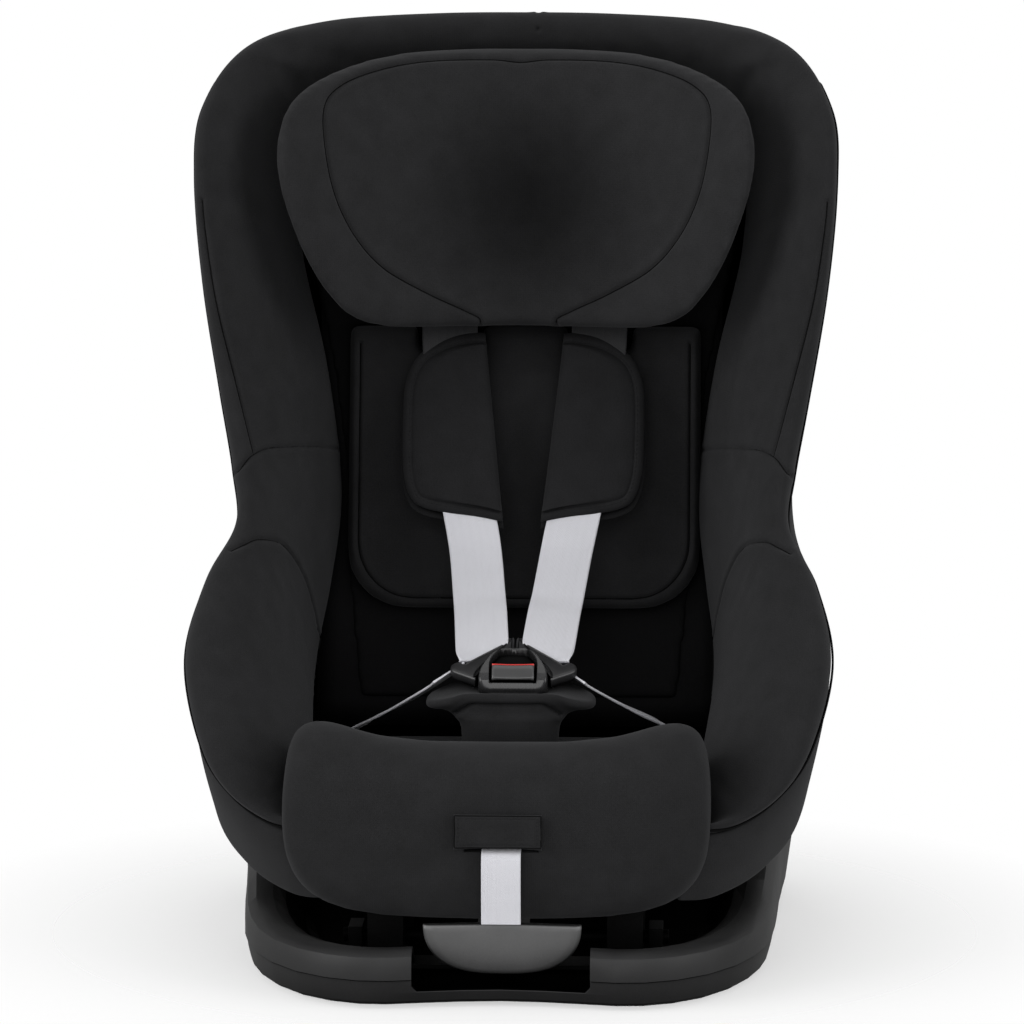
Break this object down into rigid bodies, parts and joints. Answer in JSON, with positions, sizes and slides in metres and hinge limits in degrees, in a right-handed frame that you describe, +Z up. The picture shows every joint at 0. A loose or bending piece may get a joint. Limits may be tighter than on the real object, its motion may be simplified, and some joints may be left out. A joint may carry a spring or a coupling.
{
  "type": "child car seat",
  "caption": "Forward-facing padded child car seat with sliding headrest, five-point harness and a reclining shell on a belt-fastened base.",
  "frame": {"origin": "on the vehicle seat, under the middle of the seat's overall length and width, at the base's resting plane", "axes": "+Z up; the seat faces -Y; +X is to the right of someone looking at the seat's front from outside it"},
  "size_m": [0.4628, 0.5494, 0.6567],
  "materials": {
    "shell_plastic": "moulded black-grey polypropylene, fine spark texture",
    "rubber": "matt rubber",
    "steel": "zinc-plated",
    "tongue_plastic": "black over-moulded tongue plate",
    "buckle_plastic": "semi-gloss black",
    "red_plastic": "satin red",
    "grey_plastic": "satin mid-grey",
    "fabric": "black knitted cover, foam-backed",
    "pad_fabric": "deep black brushed knit, bound edges",
    "foam": "expanded foam",
    "webbing": "light grey woven polyester"
  },
  "bodies": {
    "base": {"base_tray": "shell_plastic", "base_upper": "shell_plastic", "foot_strip_left": "rubber", "foot_strip_right": "rubber", "tilt_saddle": "shell_plastic", "tilt_shaft": "steel", "belt_deck": "shell_plastic", "belt_guide_left": "red_plastic", "belt_guide_right": "red_plastic"},
    "carriage": {"carriage_rail_left": "shell_plastic", "carriage_rail_right": "shell_plastic", "recline_rack": "steel"},
    "shell": {"seat_shell": "shell_plastic", "back_cover": "shell_plastic", "backrest_cover": "fabric", "backrest_pad": "fabric", "backrest_foam": "foam", "body_insert": "pad_fabric", "seat_cushion": "fabric", "seat_wing_pad_left": "fabric", "seat_wing_pad_right": "fabric", "side_skirt_left": "fabric", "side_skirt_right": "fabric", "slide_rod_front": "steel", "slide_rod_rear": "steel", "slide_bracket_left": "shell_plastic", "slide_bracket_right": "shell_plastic", "headrest_guide_rod_left": "steel", "headrest_guide_rod_right": "steel", "adjuster_housing": "shell_plastic", "crotch_strap_lower": "webbing", "crotch_anchor_plate": "steel", "lap_strap_left": "webbing", "lap_strap_right": "webbing"},
    "headrest": {"headrest_pad": "fabric", "headrest_shell": "shell_plastic", "headrest_carrier": "shell_plastic", "shoulder_strap_left": "webbing", "shoulder_strap_right": "webbing", "shoulder_pad_left": "pad_fabric", "shoulder_pad_right": "pad_fabric"},
    "headrest_release": {"headrest_release_bar": "grey_plastic"},
    "recline_handle": {"recline_handle": "grey_plastic"},
    "recline_latch": {"recline_latch_tooth": "steel"},
    "buckle": {"buckle_housing": "buckle_plastic", "crotch_pad": "pad_fabric", "crotch_strap_upper": "webbing"},
    "buckle_button": {"buckle_button": "red_plastic"},
    "tongue_left": {"tongue_left": "tongue_plastic", "lower_strap_left": "webbing"},
    "tongue_right": {"tongue_right": "tongue_plastic", "lower_strap_right": "webbing"},
    "adjuster_button": {"adjuster_button": "red_plastic"},
    "adjuster_flap": {"adjuster_flap": "fabric"},
    "adjuster_tail": {"adjuster_strap_tail": "webbing"},
    "yoke": {"harness_yoke": "steel"},
    "tilt_latch": {"tilt_latch": "grey_plastic"},
    "lock_off_left": {"lock_off_lever_left": "red_plastic"},
    "lock_off_right": {"lock_off_lever_right": "red_plastic"}
  },
  "joints": [
    {"name": "tilt", "type": "hinge", "parent": "base", "child": "carriage", "pos_m": [0, -0.1625, 0.028], "axis": [1, 0, 0], "range_deg": [0, 5]},
    {"name": "recline", "type": "hinge", "parent": "carriage", "child": "shell", "pos_m": [0, -0.0425, 0.5], "axis": [-1, 0, 0], "range_deg": [0, 12]},
    {"name": "headrest_height", "type": "slide", "parent": "shell", "child": "headrest", "axis": [0, 0.2478, 0.9688], "range_m": [0, 0.1]},
    {"name": "headrest_release_squeeze", "type": "slide", "parent": "headrest", "child": "headrest_release", "axis": [0, 0.2478, 0.9688], "range_m": [0, 0.006]},
    {"name": "recline_pull", "type": "slide", "parent": "shell", "child": "recline_handle", "axis": [0, -1, 0], "range_m": [0, 0.012]},
    {"name": "recline_latch_lift", "type": "slide", "parent": "shell", "child": "recline_latch", "axis": [0, 0, 1], "range_m": [0, 0.006]},
    {"name": "buckle_swing", "type": "hinge", "parent": "shell", "child": "buckle", "pos_m": [0, -0.1075, 0.152], "axis": [1, 0, 0], "range_deg": [-8, 8]},
    {"name": "buckle_press", "type": "slide", "parent": "buckle", "child": "buckle_button", "axis": [0, 0.342, -0.9397], "range_m": [0, 0.002]},
    {"name": "tongue_left_release", "type": "slide", "parent": "buckle", "child": "tongue_left", "axis": [0, 0.9397, 0.342], "range_m": [0, 0.025]},
    {"name": "tongue_right_release", "type": "slide", "parent": "buckle", "child": "tongue_right", "axis": [0, 0.9397, 0.342], "range_m": [0, 0.025]},
    {"name": "adjuster_press", "type": "hinge", "parent": "shell", "child": "adjuster_button", "pos_m": [0, -0.2295, 0.12], "axis": [1, 0, 0], "range_deg": [0, 12]},
    {"name": "flap_lift", "type": "hinge", "parent": "shell", "child": "adjuster_flap", "pos_m": [0, -0.2605, 0.1315], "axis": [-1, 0, 0], "range_deg": [0, 80]},
    {"name": "harness_pull", "type": "slide", "parent": "shell", "child": "adjuster_tail", "axis": [0, -1, 0], "range_m": [0, 0.05]},
    {"name": "yoke_draw", "type": "slide", "parent": "shell", "child": "yoke", "axis": [0, -0.2478, -0.9688], "range_m": [0, 0.05]},
    {"name": "tilt_lock", "type": "slide", "parent": "base", "child": "tilt_latch", "axis": [0, -1, 0], "range_m": [0, 0.004]},
    {"name": "lock_off_left_open", "type": "hinge", "parent": "base", "child": "lock_off_left", "pos_m": [-0.0985, 0.1345, 0.0825], "axis": [0, -1, 0], "range_deg": [0, 35]},
    {"name": "lock_off_right_open", "type": "hinge", "parent": "base", "child": "lock_off_right", "pos_m": [0.0985, 0.1345, 0.0825], "axis": [0, 1, 0], "range_deg": [0, 35]}
  ],
  "couplings": [
    {"joint": "recline_latch_lift", "follows": "recline_pull", "ratio": 0.5},
    {"joint": "yoke_draw", "follows": "harness_pull", "ratio": 1}
  ]
}
